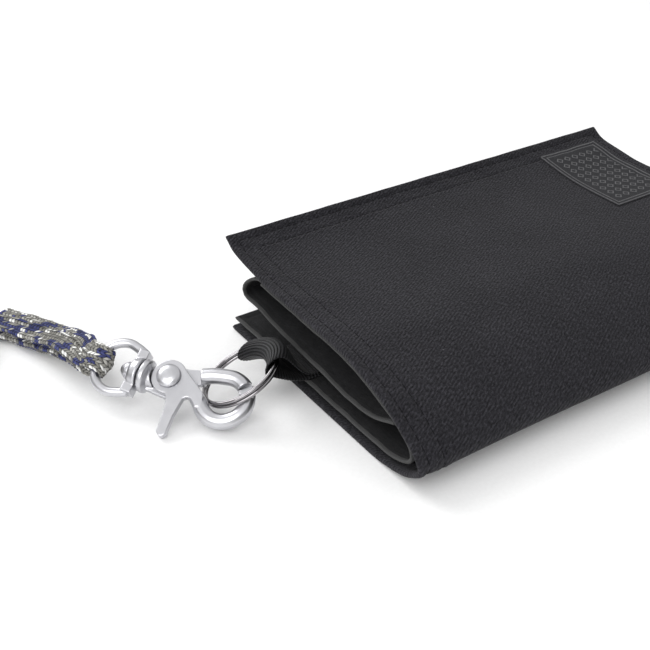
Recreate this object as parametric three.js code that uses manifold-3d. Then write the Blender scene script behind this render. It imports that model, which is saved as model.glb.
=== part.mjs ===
// Neck wallet: a folded fabric wallet with a ribbon tab, split ring, trigger snap hook and neck cord.
// Millimetres, +Z up. The wallet lies closed on its back panel; the origin is the middle of that face.
// X runs along the spine, Y from the spine (negative side) to the free edges (positive side).
import * as THREE from 'three';
import { mergeVertices } from 'three/addons/utils/BufferGeometryUtils.js';
import Module from 'manifold-3d';

const wasm = await Module();
wasm.setup();

// Wallet
const LENGTH = 156;
const WIDTH = 100;
const SHELL = 1.4;
const LINER = 0.9;
const SLOT = 0.8;
const LINER_INSET = 0.8;
const POCKET_INSET = 2;
const LABEL = { thickness: 0.5, near: 45.5, length: 27 };
const SLOT_MOUTHS = [-50, -36, -22];
const SLOT_LEVEL = 5.8;
const SLOT_STEP = 1.1;

// Split ring: two turns of round wire, lying on a slope
const RING = { centre: [-94.7, 12.3, 9.45], slope: [0.43, -0.235], radius: 11.8, wire: 0.55, pitch: 1.2 };
const RING_CROSSOVER = 18;
const RING_ENDS = 23;

// Snap hook: x along its length towards the eye, y towards the trigger, z out of its front
const HOOK = { centre: [-102.7, 7.8, 7], heading: 125, lean: 30, rise: 7 };
const LOOP_RADIUS = 6.75;
const BAR = 2.35;
const SEAM_ANGLE = 231;
const SEAM_GAP = 4;
const JAW_TIP_HEIGHT = 0.85;
const RIVET = { at: [17.2, -0.6], shank: 1.5, head: 3.6, boss: 5.2 };
const CLEARANCE = 0.3;
const PLATE = { back: -2.1, split: 0.15, front: 2.3 };
const SPRING = { radius: 2.55, wire: 0.3, level: 0.5, pocket: 1.05 };
const SWIVEL_OFFSET = 0.9;
const FLANGE = { radius: 5, from: 23.6, to: 25.4 };
const EYE = { wire: 1.45, half: 7.9, far: 39.6, from: 26, to: 29.2, block: 6.8, depth: 2.1, collar: 4.8 };
const PIN = { from: 22.8, shank: 1.5, bore: 1.8, head: 2.7, dome: 32.6 };

// Neck cord: a flat knitted tube
const CORD = { width: 11.6, squeezed: 8, thickness: 2.6, folded: 2.2, bent: 1.3 };
const CORD_ROUTE = [
  [-126, 44.4, 8], [-127, 49.4, 7.9], [-127.8, 55.2, 7.2], [-128.7, 61.4, 5.9], [-130.2, 68, 4.2],
  [-132.6, 75.5, 2.9], [-135.9, 83.5, 2], [-139.4, 90.6, 1.6], [-143, 97, 1.5],
];
const CORD_DIP = 14;
const CORD_TWIST = 18;
const CORD_WIDENS = 16;
const CORD_STEPS = 18;
const CORD_SIDES = 10;
const FOLD_LENGTH = 58;
const FOLD_CLOSES = 11;
const COIL = { centre: [-201.2, 99.7], radius: 46, bottom: 1.2, turns: 3.5, lift: 3 };
const TIE = { angle: 145, length: 12, thickness: 0.8 };
const FAR_LOOP = { from: 190, sweep: 42, height: 4.4 };

const degrees = THREE.MathUtils.degToRad;
const group = new THREE.Group();

const fabric = (color) => new THREE.MeshStandardMaterial({ color, roughness: 0.9, metalness: 0 });
const metal = (color, roughness) => new THREE.MeshStandardMaterial({ color, roughness, metalness: 1 });
const TWILL = fabric(0x34333a);
const LINING = fabric(0x26262b);
const RIBBON = fabric(0x18181b);
const KNIT = fabric(0x77756c);
const NICKEL = metal(0xc3c3c6, 0.35);
const GUNMETAL = metal(0x5c5a5c, 0.15);

function add(parent, name, geometry, material) {
  const mesh = new THREE.Mesh(geometry, material.clone());
  mesh.name = name;
  parent.add(mesh);
  return mesh;
}

// ---- solids from booleans

function solid(geometry) {
  const plain = geometry.clone();
  plain.deleteAttribute('normal');
  plain.deleteAttribute('uv');
  const merged = mergeVertices(plain, 1e-4);
  return new wasm.Manifold(new wasm.Mesh({
    numProp: 3,
    vertProperties: new Float32Array(merged.attributes.position.array),
    triVerts: new Uint32Array(merged.index.array),
  }));
}

function geometryOf(manifold) {
  const mesh = manifold.getMesh();
  const geometry = new THREE.BufferGeometry();
  geometry.setAttribute('position', new THREE.BufferAttribute(new Float32Array(mesh.vertProperties), 3));
  geometry.setIndex(new THREE.BufferAttribute(new Uint32Array(mesh.triVerts), 1));
  return geometry;
}

// ---- shapes

function smooth(points, perSpan = 5) {
  const knots = points.map(([x, y]) => new THREE.Vector3(x, y, 0));
  const curve = new THREE.CatmullRomCurve3(knots, false, 'centripetal');
  return curve.getPoints(perSpan * (points.length - 1)).map((p) => new THREE.Vector2(p.x, p.y));
}

function offset(line, distance) {
  return line.map((p, i) => {
    const before = p.clone().sub(line[Math.max(i - 1, 0)]).normalize();
    const after = line[Math.min(i + 1, line.length - 1)].clone().sub(p).normalize();
    const along = before.clone().add(after).normalize();
    const reach = distance / Math.max(along.dot(before.length() > 0 ? before : after), 0.5);
    return new THREE.Vector2(p.x - along.y * reach, p.y + along.x * reach);
  });
}

function band(line, thickness) {
  return new THREE.Shape([...offset(line, thickness / 2), ...offset(line, -thickness / 2).reverse()]);
}

function extrude(shape, depth, curveSegments = 12) {
  return new THREE.ExtrudeGeometry(shape, { depth, bevelEnabled: false, curveSegments });
}

function bar(points, radius, steps, sides = 12) {
  const path = new THREE.CatmullRomCurve3(points.map((p) => new THREE.Vector3(...p)), false, 'centripetal');
  const section = new THREE.Shape();
  for (let i = 0; i < sides; i += 1) {
    const turn = (2 * Math.PI * i) / sides;
    const corner = [radius * Math.cos(turn), radius * Math.sin(turn)];
    if (i === 0) section.moveTo(...corner);
    else section.lineTo(...corner);
  }
  return new THREE.ExtrudeGeometry(section, { steps, extrudePath: path, bevelEnabled: false });
}

// ---- the wallet's panels: outlines are given as [distance from the spine, height]

const lengthwise = new THREE.Group();
lengthwise.setRotationFromMatrix(new THREE.Matrix4().makeBasis(
  new THREE.Vector3(0, 1, 0), new THREE.Vector3(0, 0, 1), new THREE.Vector3(1, 0, 0),
));
group.add(lengthwise);

const fromSpine = (points) => points.map(([s, z]) => [s - WIDTH / 2, z]);

function panel(name, points, thickness, inset, material) {
  const depth = LENGTH - 2 * inset;
  const mesh = add(lengthwise, name, extrude(band(smooth(fromSpine(points)), thickness), depth), material);
  mesh.position.z = inset - LENGTH / 2;
  return mesh;
}

function flatPanel(name, points, thickness, from, to, material) {
  const line = fromSpine(points).map((p) => new THREE.Vector2(...p));
  const mesh = add(lengthwise, name, extrude(band(line, thickness), to - from), material);
  mesh.position.z = from;
  return mesh;
}

// back half
flatPanel('back_shell', [[99.6, 0.7], [26, 0.7], [19, 0.95], [13.1, 1.85]], SHELL,
  -LENGTH / 2, LENGTH / 2, TWILL);
flatPanel('back_liner', [[98.8, 4.4], [22, 4.4], [13.8, 4.75]], LINER,
  LINER_INSET - LENGTH / 2, LENGTH / 2 - LINER_INSET, LINING);
SLOT_MOUTHS.forEach((mouth, i) => {
  const level = SLOT_LEVEL + i * SLOT_STEP;
  flatPanel(`card_slot_${i + 1}`, [[95, level], [17 + 2 * i, level]], SLOT, mouth, LENGTH / 2 - 5, LINING);
});

// spine, in two halves that meet at the nose
const LOWER_SHELL = [[12.5, 2.05], [6.7, 3.6], [3.4, 5.2], [0.75, 7.4], [0.25, 8.3]];
const UPPER_SHELL = [[0.15, 9.1], [1.2, 10.8], [3.2, 13.05], [6.6, 15.5], [10.5, 17.9]];
panel('spine_lower_shell', LOWER_SHELL, SHELL, 0, TWILL);
panel('spine_lower_liner', [[13.1, 5], [8.6, 6.3], [5.6, 8], [4.8, 9.2]], LINER, LINER_INSET, LINING);
panel('spine_upper_shell', UPPER_SHELL, SHELL, 0, TWILL);
panel('spine_upper_liner', [[4.6, 9.9], [5.2, 12.1], [7.9, 14.3], [11.6, 16.4]], LINER, LINER_INSET, LINING);

// front half
const FRONT = [[11.1, 18.3], [17.4, 21.3], [26.2, 23.9], [35.5, 25.7], [56, 26.5], [77, 27.5], [87.4, 29.1],
  [94.8, 30.8], [99.3, 33.6]];
panel('front_shell', FRONT, SHELL, 0, TWILL);
const FRONT_LINER = [[12.3, 16.8], [18.3, 19.2], [26.9, 21.8], [36, 23.6], [56, 24.4], [80, 25.3]];
panel('front_liner', FRONT_LINER, LINER, LINER_INSET, LINING);

// roomy pocket hung under the front liner: folded at the free side, open at one short end
const POCKET_FROM = 13.8;
const POCKET = [[80.8, 25.1], [84.8, 24.5], [89.4, 22.1], [92.8, 19.5], [94.4, 16.8], [93.5, 15], [91.2, 14.5],
  [86, 14.4], [77, 13.1], [68, 12.1], [46, 10.6], [35.5, 9.6], [25.7, 10.2], [18.7, 12.4],
  [POCKET_FROM, 14.4]];
function pocketWall() {
  const line = smooth(fromSpine(POCKET));
  const depth = LENGTH - 2 * POCKET_INSET;
  const wall = solid(extrude(band(line, SLOT), depth));
  const roof = offset(smooth(fromSpine(FRONT_LINER)), -(LINER / 2 + CLEARANCE));
  const over = roof.filter((p) => p.x > POCKET_FROM - WIDTH / 2);
  const end = solid(extrude(new THREE.Shape([...over, ...line]), SLOT)).translate([0, 0, depth - SLOT]);
  return geometryOf(wall.add(end));
}
add(lengthwise, 'pocket_wall', pocketWall(), LINING).position.z = POCKET_INSET - LENGTH / 2;

const LABEL_LINE = [[54, 27.75], [66.7, 28.3], [77.1, 28.85], [87.1, 30.4], [94.2, 32]];
const label = add(lengthwise, 'label_patch', extrude(band(smooth(fromSpine(LABEL_LINE)), LABEL.thickness),
  LABEL.length), RIBBON);
label.position.z = LABEL.near;

// ---- ribbon tab: a loop of ribbon sewn on the back liner; outline as [x, height], width along Y
const TAB = { from: 4, width: 17.4, thickness: 0.6 };
const TAB_LINE = [[-69, 6.75], [-77.3, 7.1], [-79.9, 9.4], [-81, 13], [-83, 16], [-86.6, 16.6],
  [-90, 14.8], [-91.4, 11.4], [-90, 8], [-84, 6.6], [-77.3, 5.9], [-69, 5.75]];
const crosswise = new THREE.Group();
crosswise.setRotationFromMatrix(new THREE.Matrix4().makeBasis(
  new THREE.Vector3(1, 0, 0), new THREE.Vector3(0, 0, 1), new THREE.Vector3(0, -1, 0),
));
group.add(crosswise);
add(crosswise, 'ribbon_tab', extrude(band(smooth(TAB_LINE, 4), TAB.thickness), TAB.width), RIBBON)
  .position.z = -(TAB.from + TAB.width);

// ---- split ring
const ring = new THREE.Group();
ring.position.set(...RING.centre);
ring.quaternion.setFromUnitVectors(
  new THREE.Vector3(0, 0, 1),
  new THREE.Vector3(-RING.slope[0], -RING.slope[1], 1).normalize(),
);
group.add(ring);

function ringPoint(angle) {
  const step = THREE.MathUtils.smoothstep(angle, 360 - RING_CROSSOVER, 360 + RING_CROSSOVER) - 0.5;
  const turn = degrees(angle);
  return [RING.radius * Math.cos(turn), RING.radius * Math.sin(turn), RING.pitch * step];
}
const ringPath = Array.from({ length: 73 }, (_, i) =>
  ringPoint(RING_ENDS + ((720 - 2 * RING_ENDS) * i) / 72));
add(ring, 'split_ring', bar(ringPath, RING.wire, 96, 8), GUNMETAL);

// ---- snap hook
const hook = new THREE.Group();
hook.position.set(...HOOK.centre);
hook.rotation.set(-degrees(HOOK.lean), -degrees(HOOK.rise), degrees(HOOK.heading), 'ZYX');
group.add(hook);

const outlineOf = (points) => new THREE.Shape(points.map((p) => new THREE.Vector2(...p)));

function sweep(from, to, count) {
  return Array.from({ length: count }, (_, i) => {
    const turn = degrees(from + ((to - from) * i) / (count - 1));
    return [LOOP_RADIUS * Math.cos(turn), LOOP_RADIUS * Math.sin(turn), 0];
  });
}

function plate(outline, from, to) {
  return solid(extrude(outline, to - from)).translate([0, 0, from]);
}

function rod(radius, from, to, at, sides = 24) {
  return solid(new THREE.CylinderGeometry(radius, radius, to - from, sides).rotateX(Math.PI / 2))
    .translate([at[0], at[1], (from + to) / 2]);
}

function turned(profile, segments = 28) {
  const points = profile.map(([x, r]) => new THREE.Vector2(r, x));
  return new THREE.LatheGeometry(points, segments).rotateZ(-Math.PI / 2);
}

function bossAt(radius) {
  return new THREE.Shape().absarc(RIVET.at[0], RIVET.at[1], radius, 0, 2 * Math.PI, false);
}

// Room for the swivel pin, along the swivel's axis.
function pinBore(at, y) {
  const cylinder = new THREE.CylinderGeometry(PIN.bore, PIN.bore, 8, 20).rotateZ(Math.PI / 2);
  return solid(cylinder).translate([at, y, 0]);
}

function hookBody() {
  const arc = sweep(-80, SEAM_ANGLE - 360, 25);
  const upperArc = solid(bar([[8.9, -4.4, 0], [4.9, -5.9, 0], ...arc], BAR, 26));
  const bridge = outlineOf([[19, -4.6], [13, -5.4], [8.3, -6.7], [6.6, -5.6], [7.4, -2.2], [10.2, -1.2],
    [13.5, 3.2], [19, 4.2]]);
  const shoulder = outlineOf([[15.6, -4.6], [23, -3.2], [23, 4.6], [15.2, 5.2]]);
  const { radius, from, to } = FLANGE;
  const neck = solid(turned([[19.5, 0], [19.5, 1.9], [21, 2.6], [from - 0.6, 3], [from, radius - 0.3],
    [from + 0.3, radius], [to - 0.3, radius], [to, radius - 0.3], [to, 0]])).translate([0, SWIVEL_OFFSET, 0]);
  const frontRoom = plate(bossAt(RIVET.boss + 0.4), PLATE.split - CLEARANCE, PLATE.front + 3);
  const rivetBore = rod(RIVET.shank + CLEARANCE, PLATE.back - 1, PLATE.front, RIVET.at);
  const back = plate(bossAt(RIVET.boss - 0.1), PLATE.back, -PLATE.split)
    .add(plate(bridge, PLATE.back, -PLATE.split))
    .add(plate(shoulder, PLATE.back, -PLATE.split));
  const whole = upperArc.add(back).add(neck.subtract(frontRoom));
  return geometryOf(whole.subtract(pinBore(25.6, SWIVEL_OFFSET)).subtract(rivetBore));
}
add(hook, 'hook_body', hookBody(), NICKEL);

function triggerLever() {
  const outline = new THREE.Shape();
  const [cx, cy] = RIVET.at;
  outline.moveTo(13.3, -4);
  outline.lineTo(5.6, 0.9);
  outline.lineTo(4.4, 4.4);
  outline.lineTo(6.2, 5.6);
  outline.quadraticCurveTo(8.8, 2.2, 10.5, 4.4);
  outline.lineTo(10.9, 9.6);
  outline.lineTo(10.5, 15.6);
  outline.quadraticCurveTo(11.6, 17.8, 13.4, 15.6);
  outline.lineTo(14.2, 9.6);
  outline.quadraticCurveTo(14.6, 6, 16.2, 4.5);
  outline.absarc(cx, cy, RIVET.boss, degrees(101), degrees(-139), true);
  const front = plate(outline, PLATE.split, PLATE.front);
  const jaw = solid(bar([[7.9, 1.9, 0], ...sweep(38, SEAM_ANGLE - SEAM_GAP, 31)], BAR, 30));
  const behind = solid(new THREE.BoxGeometry(8, 12, 4).translate(9.9, 0, -2 + PLATE.split));
  const overTip = solid(new THREE.BoxGeometry(8, 6, 3).rotateX(0.08).translate(-5, -5.7, JAW_TIP_HEIGHT + 1.5));
  const bore = rod(RIVET.shank + CLEARANCE, -1, PLATE.front + 1, RIVET.at);
  const springRoom = rod(SPRING.radius + 0.7, -1, SPRING.pocket, RIVET.at);
  return geometryOf(front.add(jaw.subtract(behind).subtract(overTip)).subtract(bore).subtract(springRoom));
}
add(hook, 'trigger_lever', triggerLever(), NICKEL);

function rivet() {
  const { shank, head } = RIVET;
  const face = PLATE.front + CLEARANCE;
  const tail = PLATE.back - CLEARANCE;
  const profile = [[tail - 0.7, 0], [tail - 0.7, 1.9], [tail - 0.3, 2.5], [tail, 2.5], [tail, shank],
    [face, shank], [face, head], [face + 0.5, head - 0.1], [face + 1.1, head - 0.9],
    [face + 1.5, head - 2], [face + 1.65, 0]];
  const geometry = new THREE.LatheGeometry(profile.map(([z, r]) => new THREE.Vector2(r, z)), 28);
  return geometry.rotateX(Math.PI / 2).translate(RIVET.at[0], RIVET.at[1], 0);
}
add(hook, 'trigger_rivet', rivet(), NICKEL);

const springPath = Array.from({ length: 17 }, (_, i) => {
  const turn = degrees(20 + 20 * i);
  const [cx, cy] = RIVET.at;
  return [cx + SPRING.radius * Math.cos(turn), cy + SPRING.radius * Math.sin(turn), SPRING.level];
});
add(hook, 'trigger_spring', bar(springPath, SPRING.wire, 20, 8), NICKEL);

const pinProfile = [[PIN.from, 0], [PIN.from, PIN.shank], [EYE.to + CLEARANCE, PIN.shank],
  [EYE.to + CLEARANCE, PIN.head],
  [EYE.to + 1.4, PIN.head - 0.1], [EYE.to + 2.5, PIN.head - 0.8], [PIN.dome - 0.2, 1.1], [PIN.dome, 0]];
add(hook, 'swivel_pin', turned(pinProfile), NICKEL).position.y = SWIVEL_OFFSET;

function swivelEye() {
  const { wire, half, far, from, to, block, depth, collar } = EYE;
  const outer = [[30.6, half - 0.6], [33.6, half], [36.6, half - 0.8], [38.8, half - 2.6], [far, 3]];
  const side = (sign) => outer.map(([x, y]) => [x, sign * y, 0]);
  const middle = (from + to) / 2;
  const ends = block - 0.6;
  const hoop = solid(bar([[middle, -ends, 0], ...side(-1), ...side(1).reverse(), [middle, ends, 0]], wire, 44));
  const bridge = solid(new THREE.BoxGeometry(to - from, 2 * block, 2 * depth).translate(middle, 0, 0));
  const ring = solid(turned([[from, 0], [from, collar - 0.4], [from + 0.4, collar], [to - 0.9, collar - 0.3],
    [to, collar - 1.3], [to, 0]]));
  return geometryOf(hoop.add(bridge).add(ring).subtract(pinBore(middle, 0)));
}
add(hook, 'swivel_eye', swivelEye(), NICKEL).position.y = SWIVEL_OFFSET;

// ---- neck cord: folded round the eye, run along the floor, wound into a flat coil

hook.updateMatrixWorld(true);
const eyeBar = hook.localToWorld(new THREE.Vector3(EYE.far, SWIVEL_OFFSET, 0));
const hookAxis = (x, y, z) => new THREE.Vector3(x, y, z).applyQuaternion(hook.quaternion);
const acrossBar = hookAxis(0, 1, 0);
const dip = degrees(CORD_DIP);
const leaving = hookAxis(Math.cos(dip), 0, -Math.sin(dip));
const overBar = new THREE.Vector3().crossVectors(leaving, acrossBar);
const cordStart = eyeBar.clone()
  .addScaledVector(overBar, -(EYE.wire + CLEARANCE + CORD.thickness / 2))
  .addScaledVector(leaving, 1);
const cordRoute = new THREE.CatmullRomCurve3(
  [cordStart, ...CORD_ROUTE.map((p) => new THREE.Vector3(...p))], false, 'centripetal',
);

// A place on the cord, with the way across its width: along the bar at first, level further on.
function cordStation(distance) {
  const at = Math.min(distance / cordRoute.getLength(), 1);
  const along = cordRoute.getTangentAt(at);
  const level = new THREE.Vector3(0, 0, 1).cross(along).normalize();
  const side = acrossBar.clone().lerp(level, THREE.MathUtils.smoothstep(distance, 0, CORD_TWIST));
  const over = along.clone().cross(side).normalize();
  const widened = THREE.MathUtils.smoothstep(distance, 0, CORD_WIDENS);
  const width = THREE.MathUtils.lerp(CORD.squeezed, CORD.width, widened);
  return { centre: cordRoute.getPointAt(at), side: over.clone().cross(along).normalize(), over, width };
}

function webbing(stations) {
  const rings = [];
  for (const { centre, side, over, width, thickness = CORD.thickness } of stations) {
    for (let j = 0; j < CORD_SIDES; j += 1) {
      const turn = (2 * Math.PI * (j + 0.5)) / CORD_SIDES;
      rings.push(centre.clone()
        .addScaledVector(side, (width / 2) * Math.cos(turn))
        .addScaledVector(over, (thickness / 2) * Math.sin(turn)));
    }
  }
  const triangles = [];
  const last = stations.length - 1;
  const id = (i, j) => i * CORD_SIDES + (j % CORD_SIDES);
  for (let i = 0; i < last; i += 1) {
    for (let j = 0; j < CORD_SIDES; j += 1) {
      triangles.push(id(i, j), id(i, j + 1), id(i + 1, j), id(i, j + 1), id(i + 1, j + 1), id(i + 1, j));
    }
  }
  for (let j = 1; j < CORD_SIDES - 1; j += 1) {
    triangles.push(id(0, 0), id(0, j + 1), id(0, j));
    triangles.push(id(last, 0), id(last, j), id(last, j + 1));
  }
  const geometry = new THREE.BufferGeometry().setFromPoints(rings);
  geometry.setIndex(triangles);
  return geometry;
}

const cordLength = cordRoute.getLength();
const cordStations = Array.from({ length: CORD_STEPS + 1 }, (_, i) =>
  cordStation((cordLength * i) / CORD_STEPS));
add(group, 'neck_cord', webbing(cordStations), KNIT);

// The cord's end turns round the bar and lies on top of the cord, where it is sewn down.
function foldStations() {
  const reach = EYE.wire + CLEARANCE + CORD.bent / 2;
  const stations = [];
  for (let turn = -90; turn <= 90; turn += 20) {
    const out = leaving.clone().multiplyScalar(-Math.cos(degrees(turn)))
      .addScaledVector(overBar, Math.sin(degrees(turn)));
    stations.push({
      centre: eyeBar.clone().addScaledVector(out, reach),
      side: acrossBar,
      over: out,
      width: CORD.squeezed,
      thickness: CORD.bent,
    });
  }
  const high = 2 * (EYE.wire + CLEARANCE) + (CORD.thickness + CORD.bent) / 2;
  const low = CLEARANCE + (CORD.thickness + CORD.folded) / 2;
  for (let distance = 3; distance <= FOLD_LENGTH; distance += 3) {
    const station = cordStation(distance);
    const share = THREE.MathUtils.smoothstep(distance, 0, FOLD_CLOSES);
    station.centre.addScaledVector(station.over, THREE.MathUtils.lerp(high, low, share));
    stations.push({ ...station, thickness: THREE.MathUtils.lerp(CORD.bent, CORD.folded, share) });
  }
  return stations;
}
add(group, 'cord_fold', webbing(foldStations()), KNIT);

const coil = new THREE.Group();
coil.position.set(COIL.centre[0], COIL.centre[1], COIL.bottom);
group.add(coil);
const coilHeight = COIL.turns * COIL.lift + CORD.thickness;
const [coilIn, coilOut] = [COIL.radius - CORD.width / 2 - 0.1, COIL.radius + CORD.width / 2 + 0.1];
const coilProfile = [[coilIn, 0], [coilOut, 0], [coilOut, coilHeight], [coilIn, coilHeight], [coilIn, 0]];
add(coil, 'neck_cord_coil',
  new THREE.LatheGeometry(coilProfile.map((p) => new THREE.Vector2(...p)), 40).rotateX(Math.PI / 2), KNIT);

function farLoop() {
  const from = degrees(FAR_LOOP.from);
  const to = degrees(FAR_LOOP.from + FAR_LOOP.sweep);
  const shape = new THREE.Shape();
  shape.absarc(0, 0, COIL.radius + CORD.width / 2, from, to, false);
  shape.absarc(0, 0, COIL.radius - CORD.width / 2, to, from, true);
  return extrude(shape, FAR_LOOP.height, 10).translate(0, 0, coilHeight + CLEARANCE);
}
add(coil, 'cord_far_loop', farLoop(), KNIT);

function tie() {
  const wall = TIE.thickness;
  const gap = CLEARANCE;
  const [low, high] = [-gap, coilHeight + gap];
  const [near, far] = [coilIn - gap - 0.6, coilOut + gap];
  const frame = new THREE.Shape([[near - wall, low - wall], [far + wall, low - wall], [far + wall, high + wall],
    [near - wall, high + wall]].map((p) => new THREE.Vector2(...p)));
  frame.holes.push(new THREE.Path([[near, low], [near, high], [far, high], [far, low]]
    .map((p) => new THREE.Vector2(...p))));
  return extrude(frame, TIE.length).translate(0, 0, -TIE.length / 2).rotateX(Math.PI / 2);
}
add(coil, 'coil_tie', tie(), RIBBON).rotation.z = degrees(TIE.angle);

export default group;
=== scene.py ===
"""Neck wallet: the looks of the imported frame.

A folded twill wallet with a lining, an inner pocket and card sleeves, a ribbon tab, a split ring,
a trigger snap hook and a flat knitted neck cord. Shapes are worked out in millimetres in the
row frame and turned into metres when a mesh is made.
"""

import math

import bpy
import numpy as np
from mathutils import Euler, Matrix, Vector


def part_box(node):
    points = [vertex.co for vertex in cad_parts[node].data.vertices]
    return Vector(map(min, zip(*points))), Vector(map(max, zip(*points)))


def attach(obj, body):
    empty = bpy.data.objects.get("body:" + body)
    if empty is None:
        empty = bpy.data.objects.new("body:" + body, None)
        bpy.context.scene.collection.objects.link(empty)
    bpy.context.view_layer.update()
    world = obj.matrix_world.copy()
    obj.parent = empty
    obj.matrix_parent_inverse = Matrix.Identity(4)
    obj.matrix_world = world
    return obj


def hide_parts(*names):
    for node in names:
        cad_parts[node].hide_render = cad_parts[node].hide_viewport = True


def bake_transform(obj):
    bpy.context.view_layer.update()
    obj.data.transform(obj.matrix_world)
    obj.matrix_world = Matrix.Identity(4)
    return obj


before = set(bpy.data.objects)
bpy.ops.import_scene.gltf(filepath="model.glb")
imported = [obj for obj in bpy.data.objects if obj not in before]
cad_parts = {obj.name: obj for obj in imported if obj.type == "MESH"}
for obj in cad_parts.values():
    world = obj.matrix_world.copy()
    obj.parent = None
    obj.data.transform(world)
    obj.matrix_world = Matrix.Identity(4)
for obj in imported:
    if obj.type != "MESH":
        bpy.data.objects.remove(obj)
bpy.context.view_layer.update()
MM = 0.001

# Camera: in millimetres and degrees
CAMERA_AT = (-199.87, -204.69, 174.34)
CAMERA_TURN = {"azimuth": -31.706, "elevation": 31.806, "roll": -1.736}
CAMERA_LENS = 56.29

# Wallet: its length, the thickness of each cloth, and how far the inner ones stop short of the ends
LENGTH = 156.0
SHELL = 1.4
LINER = 0.9
POCKET_WALL = 0.8
POCKET_END = 0.7
LINER_INSET = 0.8
POCKET_INSET = 2.0

# Label: its thickness and its height over the front panel
LABEL_THICK = 0.36
LABEL_LIFT = 0.26

# Stitches: how far the rows are from an edge, and the shape of one thread as (along, width) of four rows
STITCH_ROWS = (3.0, 7.8)
INNER_ROW = 3.0
STITCH_PITCH = 2.7
STITCH_LENGTH = 2.0
THREAD_ROWS = ((-1.0, 0.0), (-0.8, 0.6), (0.8, 0.6), (1.0, 0.0))
THREAD_HALF = 0.42
THREAD_SUNK = -0.2

# Neck cord: squeezed to a smaller width at the eye's bar, and thinner where it is folded round it
CORD_WIDTH = 11.6
CORD_SQUEEZED = 8.0
CORD_WIDENS = 16.0
CORD_THICK = 2.6
FOLD_THICK = 2.2
FOLD_BENT = 1.3
CORD_SIDES = 66

# Coil: its turns lie on each other, each one staggered the other way from the one below
COIL_CENTRE = (-201.2, 99.7)
COIL_RADIUS = 46.0
COIL_BOTTOM = 1.2
COIL_LIFT = 3.0
COIL_TURNS = 3.5
COIL_STAGGER = 1.8
COIL_STEP = math.radians(15)
FULL_TURNS = 2 * math.pi * math.floor(COIL_TURNS)
TIE_AT = math.radians(145)
TIE_WIDTH = 12.0
TIE_THICK = 0.8

# Patterns: the distance from one thread, rib or stitch to the next, the borders as (place, half width),
# and the number of columns of stitches round the cord
TWILL_PITCH = 0.95
LINING_PITCH = 0.45
RIB_PITCH = 0.95
RIBBON_THREAD = 0.4
LABEL_THREAD = 0.35
LABEL_CELL = 3.6
LABEL_BORDERS = ((0.7, 0.22), (2.1, 0.2))
STITCH_COLUMNS = 20
STITCH_ROW = 1.35

# The lining is painted lighter outside these places along the wallet: a painted highlight where light falls
# on its turned edges at the short ends
LIT_EDGE_FROM, LIT_EDGE_TO = 1.0, 152.2

# Least height of a knitted surface over the floor
OVER_FLOOR = 0.03


# ---- small maths

SPLINE_STEPS = 24


def unit(v):
    v = np.asarray(v, float)
    return v / np.maximum(np.linalg.norm(v, axis=-1, keepdims=True), 1e-12)


def smoothstep(t):
    t = np.clip(t, 0, 1)
    return t * t * (3 - 2 * t)


def spline(points):
    """A centripetal Catmull-Rom curve through points, as closely spaced points."""
    p = np.array(points, float)
    p = np.vstack([2 * p[0] - p[1], p, 2 * p[-1] - p[-2]])
    out = []
    for a, b, c, d in zip(p[:-3], p[1:-2], p[2:-1], p[3:]):
        t1 = np.linalg.norm(b - a) ** 0.5
        t2 = t1 + np.linalg.norm(c - b) ** 0.5
        t3 = t2 + np.linalg.norm(d - c) ** 0.5
        t = np.linspace(t1, t2, SPLINE_STEPS, endpoint=False)[:, None]
        ab = (t1 - t) / t1 * a + t / t1 * b
        bc = (t2 - t) / (t2 - t1) * b + (t - t1) / (t2 - t1) * c
        cd = (t3 - t) / (t3 - t2) * c + (t - t2) / (t3 - t2) * d
        abc = (t2 - t) / t2 * ab + t / t2 * bc
        bcd = (t3 - t) / (t3 - t1) * bc + (t - t1) / (t3 - t1) * cd
        out.append((t2 - t) / (t2 - t1) * abc + (t - t1) / (t2 - t1) * bcd)
    out.append(p[-2:-1])
    return np.vstack(out)


class Line:
    """A curve measured by the distance along it."""

    def __init__(self, points):
        self.points = spline(points)
        steps = np.linalg.norm(np.diff(self.points, axis=0), axis=1)
        self.along = np.concatenate([[0], np.cumsum(steps)])
        self.length = self.along[-1]

    def at(self, s):
        s = np.asarray(s, float)
        return np.stack([np.interp(s, self.along, c) for c in self.points.T], axis=-1)

    def direction(self, s, reach=0.6):
        s = np.clip(s, reach, self.length - reach)
        return unit(self.at(s + reach) - self.at(s - reach))

    def nearest(self, point):
        return self.along[np.argmin(np.linalg.norm(self.points - np.array(point, float), axis=1))]


# ---- meshes

RIM_POINTS = 6
ROUNDED_RINGS = 2


def new_object(name, vertices, faces, uvs=None, material=None, smooth_angle=50):
    mesh = bpy.data.meshes.new(name)
    places = [tuple(v) for v in np.asarray(vertices) * MM]
    mesh.from_pydata(places, [], [tuple(map(int, f)) for f in faces])
    if uvs is not None:
        layer = mesh.uv_layers.new(name="UVMap")
        loops = np.zeros(len(mesh.loops), np.int32)
        mesh.loops.foreach_get("vertex_index", loops)
        layer.data.foreach_set("uv", np.asarray(uvs, np.float32)[loops].ravel())
    mesh.polygons.foreach_set("use_smooth", [True] * len(mesh.polygons))
    mesh.set_sharp_from_angle(angle=math.radians(smooth_angle))
    mesh.update()
    obj = bpy.data.objects.new(name, mesh)
    bpy.context.scene.collection.objects.link(obj)
    if material is not None:
        mesh.materials.append(material)
    return obj


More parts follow.
